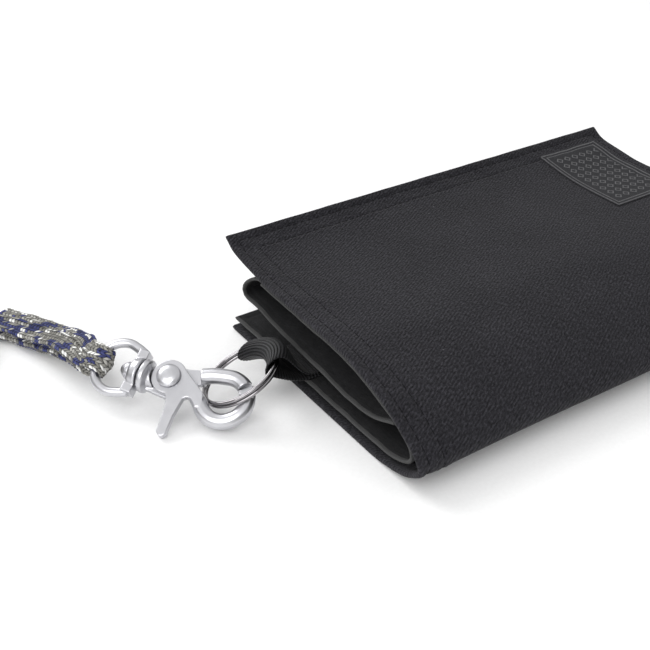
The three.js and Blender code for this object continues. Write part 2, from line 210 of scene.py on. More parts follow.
def rim_steps(length, half, step, fine=0.0, fine_step=0.5, start=True, end=True):
    """Places along a side: close together where the edge is rounded and in its hem, further apart inside."""
    rim = half * (1 - np.cos(np.linspace(0, math.pi / 2, RIM_POINTS)))
    places = [0.0, length]
    if start:
        places += list(rim) + list(np.arange(half, fine, fine_step))
    if end:
        places += list(length - rim) + list(length - np.arange(half, fine, fine_step))
    places = np.array(sorted(places))
    gaps = [places]
    for a, b in zip(places[:-1], places[1:]):
        count = int((b - a) / step)
        if count > 0:
            gaps.append(np.linspace(a, b, count + 2)[1:-1])
    places = np.unique(np.round(np.concatenate(gaps), 5))
    places[0], places[-1] = 0.0, length
    return places


def rounding(places, length, half, start=True, end=True):
    """The share of the full thickness at each place: none at a rounded edge, full further in."""
    near = np.full(len(places), half)
    if start:
        near = np.minimum(near, places)
    if end:
        near = np.minimum(near, length - places)
    return np.sqrt(np.clip(1 - (1 - near / half) ** 2, 0, 1))


def slab(name, centre, normal, half, uv, material, cap_start=False, cap_end=False):
    """A closed sheet round a grid of centre points, with the given half thickness at each point."""
    rows, cols = half.shape
    top = centre + normal * half[..., None]
    low = centre - normal * half[..., None]
    count = rows * cols
    vertices = np.vstack([top.reshape(-1, 3), low.reshape(-1, 3)])
    joined = np.arange(2 * count)
    thin = (half < 1e-6).ravel()
    joined[count:][thin] = joined[:count][thin]
    index = np.arange(count).reshape(rows, cols)
    faces = []
    for i in range(rows - 1):
        for j in range(cols - 1):
            a, b, c, d = index[i, j], index[i + 1, j], index[i + 1, j + 1], index[i, j + 1]
            faces.append((a, b, c, d))
            faces.append((count + d, count + c, count + b, count + a))
    for i, wanted, flip in ((0, cap_start, False), (rows - 1, cap_end, True)):
        for j in range(cols - 1) if wanted else ():
            quad = (index[i, j], index[i, j + 1], count + index[i, j + 1], count + index[i, j])
            faces.append(quad[::-1] if flip else quad)
    clean = []
    for face in faces:
        corners = []
        for v in (joined[f] for f in face):
            if v not in corners:
                corners.append(v)
        if len(corners) > 2:
            clean.append(corners)
    used = np.unique(np.concatenate([np.array(f) for f in clean]))
    renumber = np.full(2 * count, -1)
    renumber[used] = np.arange(len(used))
    flat_uv = np.vstack([uv.reshape(-1, 2), uv.reshape(-1, 2)])[used]
    return new_object(name, vertices[used], [[renumber[v] for v in f] for f in clean], flat_uv, material)


def tube(name, centres, side, over, outline, material, along=None, lumps=None):
    """A closed tube with rounded ends: an outline (n x 2), or one for each ring, carried along centres."""
    rings, n = len(centres), outline.shape[-2]
    scale = np.ones(rings)
    for i in range(ROUNDED_RINGS):
        scale[i] = scale[-1 - i] = math.sin((i + 1) / (ROUNDED_RINGS + 1) * math.pi / 2)
    ring = outline * scale[:, None, None]
    vertices = centres[:, None] + side[:, None] * ring[..., :1] + over[:, None] * ring[..., 1:]
    first = outline if outline.ndim == 2 else outline[rings // 2]
    girth = np.linalg.norm(np.diff(np.vstack([first, first[:1]]), axis=0), axis=1)
    around = np.concatenate([[0], np.cumsum(girth)])[:-1]
    if along is None:
        along = np.concatenate([[0], np.cumsum(np.linalg.norm(np.diff(centres, axis=0), axis=1))])
    if lumps is not None:
        outwards = unit(vertices - centres[:, None])
        proud = lumps(around[None], along[:, None], girth.sum())
        vertices = vertices + outwards * proud[..., None]
        vertices[..., 2] = np.maximum(vertices[..., 2], OVER_FLOOR)
    vertices = np.vstack([vertices.reshape(-1, 3), centres[:1], centres[-1:]])
    faces = []
    for i in range(rings - 1):
        for j in range(n):
            k = (j + 1) % n
            faces.append((i * n + j, i * n + k, (i + 1) * n + k, (i + 1) * n + j))
    for j in range(n):
        k = (j + 1) % n
        faces.append((rings * n, k, j))
        faces.append((rings * n + 1, (rings - 1) * n + j, (rings - 1) * n + k))
    uv = np.stack(np.meshgrid(around / girth.sum(), along * MM), axis=-1).reshape(-1, 2)
    return new_object(name, vertices, faces, np.vstack([uv, uv[:1], uv[-1:]]), material)


def round_outline(radius, sides):
    a = np.linspace(0, 2 * math.pi, sides, endpoint=False)
    return radius * np.stack([np.cos(a), np.sin(a)], axis=-1)


def flat_outline(width, thickness):
    """The flat cord's outline: between an ellipse and a rectangle."""
    a = np.linspace(0, 2 * math.pi, CORD_SIDES, endpoint=False)
    c, s = np.cos(a), np.sin(a)
    across = width / 2 * np.sign(c) * abs(c) ** 0.75
    up = thickness / 2 * np.sign(s) * abs(s) ** 0.8
    return np.stack([across, up], axis=-1)


# ---- material nodes


class Nodes:
    """Builds a material's node tree in a few words."""

    def __init__(self, name):
        self.material = bpy.data.materials.new(name)
        self.material.use_nodes = True
        self.tree = self.material.node_tree
        self.shader = self.tree.nodes["Principled BSDF"]

    def add(self, kind, inputs=(), **settings):
        node = self.tree.nodes.new(kind)
        for key, value in settings.items():
            setattr(node, key, value)
        for socket, value in dict(inputs).items():
            self.feed(node.inputs[socket], value)
        return node

    def feed(self, socket, value):
        if isinstance(value, bpy.types.NodeSocket):
            self.tree.links.new(value, socket)
        elif isinstance(value, bpy.types.Node):
            self.tree.links.new(value.outputs[0], socket)
        else:
            socket.default_value = value

    def maths(self, operation, a, b=0.0):
        return self.add("ShaderNodeMath", {0: a, 1: b}, operation=operation).outputs[0]

    def plus(self, a, b):
        return self.maths("ADD", a, b)

    def minus(self, a, b):
        return self.maths("SUBTRACT", a, b)

    def times(self, a, b):
        return self.maths("MULTIPLY", a, b)

    def wave(self, value, pitch):
        """A sine that repeats every pitch, in millimetres, of a value in metres."""
        return self.maths("SINE", self.times(value, 2 * math.pi / (pitch * MM)))

    def away(self, value, middle):
        """How far the value is from middle, either way."""
        return self.maths("ABSOLUTE", self.minus(value, middle))

    def uv(self):
        return self.add("ShaderNodeTexCoord").outputs["UV"]

    def place(self):
        return self.add("ShaderNodeTexCoord").outputs["Object"]

    def split(self, vector):
        node = self.add("ShaderNodeSeparateXYZ", {0: vector})
        return node.outputs[0], node.outputs[1], node.outputs[2]

    def join(self, x, y=0.0, z=0.0):
        return self.add("ShaderNodeCombineXYZ", {0: x, 1: y, 2: z}).outputs[0]

    def noise(self, vector, scale, detail=3.0, roughness=0.5):
        node = self.add("ShaderNodeTexNoise", {"Vector": vector, "Scale": scale, "Detail": detail})
        node.inputs["Roughness"].default_value = roughness
        return node.outputs[0]

    def ramp(self, value, *stops):
        node = self.add("ShaderNodeValToRGB", {0: value})
        while len(node.color_ramp.elements) < len(stops):
            node.color_ramp.elements.new(0.5)
        for element, (position, colour) in zip(node.color_ramp.elements, stops):
            element.position = position
            element.color = (*colour, 1) if not np.isscalar(colour) else (colour, colour, colour, 1)
        return node.outputs[0]

    def mix(self, share, a, b):
        node = self.add("ShaderNodeMix", data_type="RGBA")
        self.feed(node.inputs[0], share)
        self.feed(node.inputs[6], a if not isinstance(a, tuple) else (*a, 1))
        self.feed(node.inputs[7], b if not isinstance(b, tuple) else (*b, 1))
        return node.outputs[2]

    def bump(self, height, distance, strength=1.0, under=None):
        node = self.add("ShaderNodeBump", {"Height": height, "Distance": distance, "Strength": strength})
        if under is not None:
            self.feed(node.inputs["Normal"], under)
        return node.outputs[0]

    def set(self, **values):
        for key, value in values.items():
            self.feed(self.shader.inputs[key.replace("_", " ")], value)
        return self.material


def twill_material():
    """Black twill: fine slanting ribs, with a slightly bluish sheen and a little lint."""
    m = Nodes("twill")
    uv = m.uv()
    s, x, _ = m.split(uv)
    steep, shallow = 0.86, 0.51
    slant = m.minus(m.times(s, steep), m.times(x, shallow))
    level = m.plus(m.times(s, shallow), m.times(x, steep))
    wander = m.times(m.noise(uv, 420, 3, 0.6), 0.0012)
    rib = m.wave(m.plus(slant, wander), TWILL_PITCH)
    streak = m.noise(m.join(m.times(slant, 1900.0), m.times(level, 850.0)), 1.0, 3, 0.6)
    grain = m.noise(uv, 1700, 3, 0.65)
    height = m.plus(m.times(rib, 0.3), m.times(streak, 2.0))
    height = m.plus(height, m.times(grain, 1.2))
    patches = m.noise(uv, 55, 4, 0.6)
    tone = m.plus(m.times(streak, 0.7), m.times(grain, 0.3))
    tone = m.plus(m.times(tone, 0.9), m.times(patches, 0.1))
    tone = m.plus(tone, m.times(rib, 0.03))
    colour = m.ramp(tone, (0.35, (0.004, 0.0039, 0.0052)), (0.5, (0.0166, 0.016, 0.0194)),
                    (0.64, (0.04, 0.039, 0.046)))
    lint = m.add("ShaderNodeTexVoronoi", {"Vector": uv, "Scale": 110})
    speck = m.ramp(lint.outputs["Distance"], (0.0, 1.0), (0.02, 1.0), (0.028, 0.0))
    colour = m.mix(m.times(speck, 0.3), colour, (0.25, 0.25, 0.25))
    creases = m.noise(uv, 38, 4)
    soft = m.bump(creases, 0.0012, 0.4)
    return m.set(Base_Color=colour, Normal=m.bump(height, 0.00022, 0.9, soft), Roughness=0.85,
                 Sheen_Weight=0.06, Sheen_Roughness=0.5, Specular_IOR_Level=0.12)


def lining_material():
    """Dark plain weave, painted lighter along the turned edges at the wallet's short ends: a painted
    highlight where light falls on them.
    """
    m = Nodes("lining")
    uv = m.uv()
    s, x, _ = m.split(uv)
    warp = m.wave(s, LINING_PITCH)
    weft = m.wave(x, LINING_PITCH)
    grain = m.noise(uv, 1800, 3, 0.6)
    height = m.plus(m.times(warp, weft), grain)
    colour = m.ramp(m.noise(uv, 500, 4, 0.65), (0.25, (0.005, 0.005, 0.006)), (0.75, (0.015, 0.015, 0.016)))
    # painted highlight: a lighter colour on the turned edges at the short ends, for the light that falls on
    # them
    off_middle = m.away(x, (LIT_EDGE_FROM + LIT_EDGE_TO) / 2 * MM)
    rim = m.maths("GREATER_THAN", off_middle, (LIT_EDGE_TO - LIT_EDGE_FROM) / 2 * MM)
    colour = m.mix(m.times(rim, 0.85), colour, (0.062, 0.062, 0.062))
    soft = m.bump(m.noise(uv, 45, 3), 0.0015, 0.5)
    return m.set(Base_Color=colour, Normal=m.bump(height, 0.0001, 0.8, soft), Roughness=0.85,
                 Sheen_Weight=0.05, Specular_IOR_Level=0.1)


def thread_material():
    """Black sewing thread."""
    m = Nodes("thread")
    place = m.place()
    twist = m.noise(place, 4500, 2)
    colour = m.ramp(twist, (0.3, (0.002, 0.002, 0.0025)), (0.7, (0.008, 0.008, 0.009)))
    return m.set(Base_Color=colour, Normal=m.bump(twist, 0.0001, 0.6), Roughness=0.8, Specular_IOR_Level=0.1)


def ribbon_material():
    """Grosgrain: ribs that run across the ribbon, with painted shade in the grooves between them and a
    painted highlight on their tops.
    """
    m = Nodes("grosgrain")
    uv = m.uv()
    s, x, _ = m.split(uv)
    fine = m.wave(x, RIBBON_THREAD)
    rib = m.maths("ABSOLUTE", m.maths("SINE", m.times(s, math.pi / (RIB_PITCH * MM))))
    grain = m.noise(uv, 2500, 2)
    tone = m.plus(m.times(rib, 0.8), m.times(grain, 0.3))
    # painted shade and highlight: the colour runs from near black in the grooves to lighter on the rib tops
    colour = m.ramp(tone, (0.6, (0.001, 0.001, 0.0013)), (1.0, (0.04, 0.04, 0.043)))
    height = m.plus(m.plus(fine, grain), m.times(rib, 2.0))
    return m.set(Base_Color=colour, Normal=m.bump(height, 0.00005, 0.7), Roughness=0.4, Sheen_Weight=0.02,
                 Specular_IOR_Level=0.22)


def label_material(long, wide):
    """A woven patch of that size in metres, with a plain double border and rows of small lozenges."""
    m = Nodes("label_weave")
    uv = m.uv()
    s, x, _ = m.split(uv)
    edge_s = m.maths("MINIMUM", s, m.minus(long, s))
    edge_x = m.maths("MINIMUM", x, m.minus(wide, x))
    edge = m.maths("MINIMUM", edge_s, edge_x)
    lines = [m.maths("LESS_THAN", m.away(edge, place * MM), half * MM) for place, half in LABEL_BORDERS]
    border = m.maths("MAXIMUM", *lines)
    inner = m.maths("GREATER_THAN", edge, LABEL_CELL * MM)
    in_cell = [m.away(m.maths("FRACT", m.maths("DIVIDE", place, LABEL_CELL * MM)), 0.5) for place in (s, x)]
    lozenge = m.away(m.plus(*in_cell), 0.33)
    lattice = m.times(m.maths("LESS_THAN", lozenge, 0.075), inner)
    mark = m.maths("MAXIMUM", border, lattice)
    threads = m.wave(s, LABEL_THREAD)
    grain = m.noise(uv, 2200, 2)
    ground = m.ramp(grain, (0.3, (0.011, 0.011, 0.013)), (0.7, (0.026, 0.026, 0.029)))
    figure = m.ramp(grain, (0.3, (0.06, 0.06, 0.063)), (0.7, (0.13, 0.13, 0.135)))
    height = m.plus(m.times(threads, 0.4), m.times(mark, 0.4))
    return m.set(Base_Color=m.mix(mark, ground, figure), Normal=m.bump(height, 0.00006, 0.7), Roughness=0.8,
                 Sheen_Weight=0.05, Specular_IOR_Level=0.15)


def knit_material():
    """Flat knitted cord: columns of slanting stitches in olive grey, with navy patches, white flecks and
    painted shade in the gaps between the stitches.
    """
    m = Nodes("knit")
    around, along, _ = m.split(m.uv())
    column = m.times(around, STITCH_COLUMNS)
    which = m.maths("FLOOR", column)
    across = m.minus(m.maths("FRACT", column), 0.5)
    lean = m.minus(m.times(m.maths("MODULO", which, 2.0), 2.0), 1.0)
    slip = m.times(m.times(lean, across), 0.75)
    row = m.plus(m.maths("DIVIDE", along, STITCH_ROW * MM), slip)
    stitch = m.maths("FLOOR", row)
    within = m.minus(m.maths("FRACT", row), 0.5)
    round_row = m.minus(1.0, m.times(m.times(within, within), 3.6))
    round_column = m.minus(1.0, m.times(m.times(across, across), 3.2))
    height = m.times(m.maths("MAXIMUM", round_row, 0.0), m.maths("MAXIMUM", round_column, 0.0))
    cell = m.join(which, stitch, 0.0)
    chance = m.add("ShaderNodeTexWhiteNoise", {"Vector": cell}, noise_dimensions="2D").outputs[0]
    area = m.noise(m.join(m.maths("DIVIDE", which, 6.0), m.maths("DIVIDE", stitch, 6.0)), 1.0, 2.0)
    navy = m.maths("GREATER_THAN", m.plus(area, m.times(chance, 0.1)), 0.58)
    run = m.noise(m.join(m.times(which, 1.7), m.maths("DIVIDE", stitch, 3.4), 5.0), 1.0, 1.0)
    fleck = m.maths("GREATER_THAN", m.plus(run, m.times(chance, 0.06)), 0.64)
    olive = m.ramp(chance, (0.0, (0.17, 0.166, 0.15)), (0.6, (0.3, 0.294, 0.27)), (1.0, (0.52, 0.51, 0.48)))
    blue = m.ramp(chance, (0.0, (0.02, 0.025, 0.09)), (1.0, (0.06, 0.07, 0.2)))
    colour = m.mix(fleck, m.mix(navy, olive, blue), (0.86, 0.86, 0.84))
    # painted shade: the colour darkens towards the gaps between the stitches, where each stitch's height
    # falls off
    painted_gap_shade = m.ramp(height, (0.05, 0.03), (0.6, 1.0))
    dark = m.add("ShaderNodeMix", data_type="RGBA", blend_type="MULTIPLY")
    dark.inputs[0].default_value = 1.0
    m.feed(dark.inputs[6], colour)
    m.feed(dark.inputs[7], painted_gap_shade)
    fibre = m.noise(m.place(), 3500, 3)
    lumps = m.bump(height, 0.0004, 0.8)
    return m.set(Base_Color=dark.outputs[2], Normal=m.bump(fibre, 0.00015, 0.6, lumps), Roughness=0.8,
                 Sheen_Weight=0.05, Specular_IOR_Level=0.2)


def metal_material(name, light, dark, roughness, grain_scale, grain_depth):
    """Metal with slow clouds of tone and a fine grain."""
    m = Nodes(name)
    place = m.place()
    cloud = m.noise(place, 300, 2)
    colour = m.ramp(cloud, (0.3, dark), (0.7, light))
    fine = m.noise(place, grain_scale, 3, 0.6)
    spread = m.ramp(m.noise(place, 350, 2), (0.3, roughness * 0.93), (0.7, roughness * 1.08))
    return m.set(Base_Color=colour, Roughness=spread, Normal=m.bump(fine, grain_depth, 0.5), Metallic=1.0)


def floor_material():
    """White paper."""
    m = Nodes("floor")
    speck = m.noise(m.place(), 900, 2)
    colour = m.ramp(speck, (0.3, (0.9, 0.9, 0.9)), (0.7, (0.93, 0.93, 0.93)))
    return m.set(Base_Color=colour, Roughness=0.7, Specular_IOR_Level=0.2)


TWILL = twill_material()
LINING = lining_material()
THREAD = thread_material()
RIBBON = ribbon_material()
KNIT = knit_material()
NICKEL = metal_material("satin_nickel", light=(0.6, 0.6, 0.625), dark=(0.56, 0.56, 0.585), roughness=0.33,
                        grain_scale=5000, grain_depth=0.000006)
GUNMETAL = metal_material("gunmetal", light=(0.36, 0.35, 0.36), dark=(0.24, 0.23, 0.24), roughness=0.1,
                          grain_scale=6000, grain_depth=0.00001)


# ---- camera and stage


def make_camera():
    azimuth, elevation, roll = (math.radians(CAMERA_TURN[k]) for k in ("azimuth", "elevation", "roll"))
    level = math.cos(elevation)
    back = Vector((math.sin(azimuth) * level, -math.cos(azimuth) * level, math.sin(elevation)))
    right = Vector((0, 0, 1)).cross(back).normalized()
    up = back.cross(right)
    turned_right = right * math.cos(roll) + up * math.sin(roll)
    turned_up = up * math.cos(roll) - right * math.sin(roll)
    data = bpy.data.cameras.new("camera")
    data.lens = CAMERA_LENS
    data.clip_start = 0.01
    data.clip_end = 20
    camera = bpy.data.objects.new("camera", data)
    bpy.context.scene.collection.objects.link(camera)
    camera.matrix_world = Matrix.Translation(Vector(CAMERA_AT) * MM) @ Matrix(
        (turned_right, turned_up, back)).transposed().to_4x4()
    bpy.context.scene.camera = camera


def make_stage():
    """A white floor that reaches far past the view."""
    size = 3000
    corners = [(-size, -size, 0), (size, -size, 0), (size, size, 0), (-size, size, 0)]
    floor = new_object("floor", corners, [(0, 1, 2, 3)], material=floor_material())


def area_light(name, at, aim, size, power):
    data = bpy.data.lights.new(name, "AREA")
    data.shape = "DISK"
    data.size = size
    data.energy = power
    light = bpy.data.objects.new(name, data)
    bpy.context.scene.collection.objects.link(light)
    light.location = at
    light.rotation_euler = (Vector(aim) - Vector(at)).to_track_quat("-Z", "Y").to_euler()


# the sky's tone at three heights
SKY_TONES = ((0.05, 0.28), (0.3, 0.4), (0.6, 0.86))


def make_sky():
    """An even white room whose walls are dark near the floor, so that metal has something to reflect."""
    world = bpy.data.worlds.new("studio")
    world.use_nodes = True
    tree = world.node_tree
    place = tree.nodes.new("ShaderNodeTexCoord")
    split = tree.nodes.new("ShaderNodeSeparateXYZ")
    ramp = tree.nodes.new("ShaderNodeValToRGB")
    tree.links.new(place.outputs["Generated"], split.inputs[0])
    tree.links.new(split.outputs[2], ramp.inputs[0])
    tree.links.new(ramp.outputs[0], tree.nodes["Background"].inputs[0])
    ramp.color_ramp.elements.new(0.5)
    for element, (height, tone) in zip(ramp.color_ramp.elements, SKY_TONES):
        element.position = height
        element.color = (tone, tone, tone, 1)
    tree.nodes["Background"].inputs[1].default_value = 1.0
    bpy.context.scene.world = world


def make_lights():
    make_sky()
    area_light("key", at=(-0.35, 0.9, 0.75), aim=(-0.05, 0.02, 0), size=0.8, power=6.5)
    area_light("fill", at=(-0.8, -0.55, 0.65), aim=(-0.05, 0, 0), size=1.1, power=7.5)
    bpy.context.scene.view_settings.view_transform = "Standard"


make_camera()
make_stage()
make_lights()


# ---- neck cord: the same route as in the CAD source, with the coil's turns staggered

HOOK_AT = np.array([-102.7, 7.8, 7.0])
HOOK_AXES = np.array(Euler((math.radians(-30), math.radians(-7), math.radians(125)), "XYZ").to_matrix())
EYE_BAR = (39.6, 0.9, 0)
EYE_BAR_RADIUS = 1.45
CLEARANCE = 0.3
CORD_DIP = math.radians(14)
CORD_TWIST = 18.0
CORD_ROUTE = [
    (-126, 44.4, 8), (-127, 49.4, 7.9), (-127.8, 55.2, 7.2), (-128.7, 61.4, 5.9), (-130.2, 68, 4.2),
    (-132.6, 75.5, 2.9), (-135.9, 83.5, 2), (-139.4, 90.6, 1.6), (-143, 97, 1.5),
]
FOLD_LENGTH = 57.0
FOLD_CLOSES = 11.0

# the sewn end: where the cord reaches it, how far it climbs to it over the last stretch, and the loop's arc
END_AT = math.radians(190)
END_RISE = 3.2
END_CLIMB = 0.35
END_LOOP = (191, 231)

# rings of the cord's mesh: close together where the photo shows it, further apart in the coil
FINE_STEP, COIL_RING_STEP = 0.3, 1.5
VISIBLE_CORD = 75.0

eye_bar = HOOK_AT + HOOK_AXES @ np.array(EYE_BAR)
across_bar = HOOK_AXES @ np.array([0, 1.0, 0])
leaving = HOOK_AXES @ np.array([math.cos(CORD_DIP), 0, -math.sin(CORD_DIP)])
over_bar = np.cross(leaving, across_bar)
cord_start = eye_bar - over_bar * (EYE_BAR_RADIUS + CLEARANCE + CORD_THICK / 2) + leaving


def stagger(angle):
    """How far a turn lies outside the coil's middle line.

    It goes the other way from the turn below it, and the turns cross where the tie gathers them.
    """
    return COIL_STAGGER * np.tanh(4 * np.sin((TIE_AT - angle) / 2))


def coil_points():
    """The route from the end of the free stretch into the coil, and round it to the sewn end."""
    end = np.array(CORD_ROUTE[-1][:2]) - np.array(COIL_CENTRE)
    first = math.atan2(end[1], end[0])
    last = END_AT + FULL_TURNS
    wide = np.linalg.norm(end) - COIL_RADIUS
    start_height, first_height = CORD_ROUTE[-1][2], COIL_BOTTOM + CORD_THICK / 2
    points = []
    count = int((last - first) / COIL_STEP)
    for i in range(1, count + 1):
        angle = first + (last - first) * i / count
        turn = (angle - first) / (2 * math.pi)
        settle = smoothstep(turn / 0.1)
        radius = COIL_RADIUS + wide * math.exp(-2.6 * (angle - first)) + settle * stagger(angle)
        height = start_height * (1 - settle) + first_height * settle + COIL_LIFT * turn
        height += END_RISE * smoothstep((angle - last + END_CLIMB) / END_CLIMB)
        x, y = COIL_CENTRE[0] + radius * math.cos(angle), COIL_CENTRE[1] + radius * math.sin(angle)
        points.append((x, y, height))
    return points


cord_line = Line([tuple(cord_start), *CORD_ROUTE, *coil_points()])


def cord_frames(distance):
    """The cord's middle, its direction across and its upward direction, turning level after the bar."""
    along = cord_line.direction(distance, 1.0)
    level = unit(np.cross([0, 0, 1.0], along))
    share = smoothstep(distance / CORD_TWIST)[:, None]
    side = across_bar * (1 - share) + level * share
    over = unit(np.cross(along, side))
    return cord_line.at(distance), unit(np.cross(over, along)), over


cord_distance = np.concatenate([np.arange(0, VISIBLE_CORD, FINE_STEP),
                                np.arange(VISIBLE_CORD, cord_line.length, COIL_RING_STEP)])


def knit_lumps(around, along, girth):
    """How far the loops of the knit stand out of a smooth cord: one bump for each stitch."""
    column = around / girth * STITCH_COLUMNS
    lean = 2 * (np.floor(column) % 2) - 1
    across = column - np.floor(column) - 0.5
    row = along / STITCH_ROW + 0.75 * lean * across
    within = row - np.floor(row) - 0.5
    stitch = 0.5 * np.maximum(1 - 3.6 * within**2, 0) * np.maximum(1 - 3.2 * across**2, 0)
    slow = np.sin(along / 2.9 + 1.0) * np.sin(along / 4.7 + around / 5.0)
    gathered = 1 + 0.8 * np.exp(-(((along - 7) / 7) ** 2))
    return stitch + 0.4 * gathered * slow - 0.15


def cord_outlines(distance, thick):
    """The cord's section at each distance: gathered where it goes round the bar, wider further on."""
    width = CORD_SQUEEZED + (CORD_WIDTH - CORD_SQUEEZED) * smoothstep(distance / CORD_WIDENS)
    flat = flat_outline(2.0, 2.0)[None]
    return flat * np.stack([width / 2, np.broadcast_to(thick / 2, width.shape)], axis=-1)[:, None]


def make_cord():
    outline = cord_outlines(cord_distance, CORD_THICK)
    cord = tube("neck_cord_knit", *cord_frames(cord_distance), outline, KNIT, cord_distance, knit_lumps)
    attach(cord, "swivel")
    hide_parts("neck_cord", "neck_cord_coil")
    return cord


def fold_stations():
    """The folded end: round the bar and back along the cord, on top of it."""
    reach = EYE_BAR_RADIUS + CLEARANCE + FOLD_BENT / 2
    centre, side, over = [], [], []
    turns = np.radians(np.arange(-90, 91, 8))
    for turn in turns:
        out = -leaving * math.cos(turn) + over_bar * math.sin(turn)
        centre.append(eye_bar + out * reach)
        side.append(across_bar)
        over.append(out)
    high = 2 * (EYE_BAR_RADIUS + CLEARANCE) + (CORD_THICK + FOLD_BENT) / 2
    low = CLEARANCE + (CORD_THICK + FOLD_THICK) / 2
    distance = np.arange(1.5, FOLD_LENGTH + 0.1, FINE_STEP)
    closed = smoothstep(distance / FOLD_CLOSES)
    at, across, up = cord_frames(distance)
    centre.extend(at + up * (high + (low - high) * closed)[:, None])
    side.extend(across)
    over.extend(up)
    thick = np.concatenate([np.full(len(turns), FOLD_BENT), FOLD_BENT + (FOLD_THICK - FOLD_BENT) * closed])
    outline = cord_outlines(np.concatenate([0 * turns, distance]), thick)
    return np.array(centre), np.array(side), np.array(over), outline


def make_cord_fold():
    fold = tube("cord_fold_knit", *fold_stations(), KNIT, lumps=knit_lumps)
    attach(fold, "swivel")
    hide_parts("cord_fold")
    return fold


def end_length(name, height, thickness):
    """A flat length of cord that lies on the coil's last turn."""
    a = np.radians(np.linspace(*END_LOOP, 60))
    radius = COIL_RADIUS + stagger(a + FULL_TURNS)
    x, y = COIL_CENTRE[0] + radius * np.cos(a), COIL_CENTRE[1] + radius * np.sin(a)
    centre = np.stack([x, y, np.full(len(a), height)], axis=-1)
    side = -np.stack([np.cos(a), np.sin(a), 0 * a], axis=-1)
    over = np.tile([0, 0, 1.0], (len(a), 1))
    piece = tube(name, centre, side, over, flat_outline(CORD_WIDTH, thickness), KNIT, lumps=knit_lumps)
    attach(piece, "swivel")
    return piece


def make_cord_end():
    """The far end: turned back on itself as a flat loop and sewn."""
    low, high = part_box("cord_far_loop")
    bottom, top = low.z / MM, high.z / MM
    thick = (top - bottom) / 2 - 0.15
    lower = end_length("end_loop_lower", bottom + thick / 2, thick)
    upper = end_length("end_loop_upper", top - thick / 2, thick)
    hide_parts("cord_far_loop")
    return [lower, upper]


def tie_loop():
    """The tape's section round the coil, from the coil's centre outwards and from its bottom up."""
    near, far = COIL_RADIUS - CORD_WIDTH / 2 - 1.4, COIL_RADIUS + CORD_WIDTH / 2 + 0.8
    low, high = -0.7, COIL_TURNS * COIL_LIFT + CORD_THICK + 0.7
    corner = 1.2
    loop = []
    for cx, cz, start in ((near + corner, low + corner, 180), (far - corner, low + corner, 270),
                          (far - corner, high - corner, 0), (near + corner, high - corner, 90)):
        for step in range(6):
            a = math.radians(start + 18 * step)
            loop.append((cx + corner * math.cos(a), cz + corner * math.sin(a)))
    loop.append(loop[0])
    return np.array(loop)


def make_tie():
    """A band of tape round the coil."""
    out = np.array([math.cos(TIE_AT), math.sin(TIE_AT), 0])
    along = np.array([-math.sin(TIE_AT), math.cos(TIE_AT), 0])
    up = np.array([0, 0, 1.0])
    loop = tie_loop()
    places = np.linspace(-TIE_WIDTH / 2, TIE_WIDTH / 2, 13)
    base = np.array([COIL_CENTRE[0], COIL_CENTRE[1], COIL_BOTTOM])
    centre = base + loop[:, None, :1] * out + loop[:, None, 1:] * up + places[None, :, None] * along
    turn = np.gradient(loop, axis=0)
    flat_normal = unit(np.stack([turn[:, 1], -turn[:, 0]], axis=-1))
    normal = (flat_normal[:, :1] * out + flat_normal[:, 1:] * up)[:, None] + 0 * centre
    half_thick = TIE_THICK / 2
    half = np.tile(half_thick * rounding(places + TIE_WIDTH / 2, TIE_WIDTH, half_thick), (len(loop), 1))
    run = np.concatenate([[0], np.cumsum(np.linalg.norm(np.diff(loop, axis=0), axis=1))])
    uv = np.stack(np.meshgrid(run, places, indexing="ij"), axis=-1) * MM
    tie = slab("coil_tie_tape", centre, normal, half, uv, RIBBON, True, True)
    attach(tie, "swivel")
    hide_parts("coil_tie")
    return tie


cord = make_cord()
cord_fold = make_cord_fold()
cord_end = make_cord_end()
cord_tie = make_tie()


# ---- the wallet's cloth

# outer cloth, lining and pocket, each as a line across the spine: Y and Z, from the back panel to the front
BACK_EDGE = [(49.6, 0.7), (30, 0.7), (0, 0.7), (-24, 0.7), (-31, 0.95), (-36.9, 1.85)]
NOSE = [(-43.3, 3.6), (-46.6, 5.2), (-49.25, 7.4), (-49.85, 9.1), (-48.8, 10.8), (-46.8, 13.05),
        (-43.4, 15.5)]
FRONT_EDGE = [(-39.2, 18.1), (-32.6, 21.3), (-23.8, 23.9), (-14.5, 25.7), (6, 26.5), (27, 27.5),
              (37.4, 29.1), (44.8, 30.8), (49.3, 33.6)]
shell_line = Line(BACK_EDGE + NOSE + FRONT_EDGE)
SHELL_LOWER = shell_line.nearest(NOSE[0])
SHELL_UPPER = shell_line.nearest(NOSE[-1])

LINER_BACK = [(48.8, 4.4), (20, 4.4), (-28, 4.4), (-36.2, 4.75)]
LINER_NOSE = [(-41.4, 6.3), (-44.4, 8.0), (-45.3, 9.6), (-44.8, 12.1), (-42.1, 14.3)]
LINER_FRONT = [(-37.9, 16.8), (-31.7, 19.2), (-23.1, 21.8), (-14, 23.6), (6, 24.4), (30, 25.3)]
liner_line = Line(LINER_BACK + LINER_NOSE + LINER_FRONT)
LINER_LOWER = liner_line.nearest(LINER_NOSE[0])
LINER_UPPER = liner_line.nearest(LINER_NOSE[-1])

POCKET_NOSE = (44.4, 16.8)
POCKET = [(30.8, 25.1), (34.8, 24.5), (39.4, 22.1), (42.8, 19.5), POCKET_NOSE, (43.5, 15), (41.2, 14.5),
          (36, 14.4), (27, 13.1), (18, 12.1), (-4, 10.6), (-14.5, 9.6), (-24.3, 10.2), (-31.3, 12.4),
          (-36.2, 14.4)]
pocket_line = Line(POCKET)

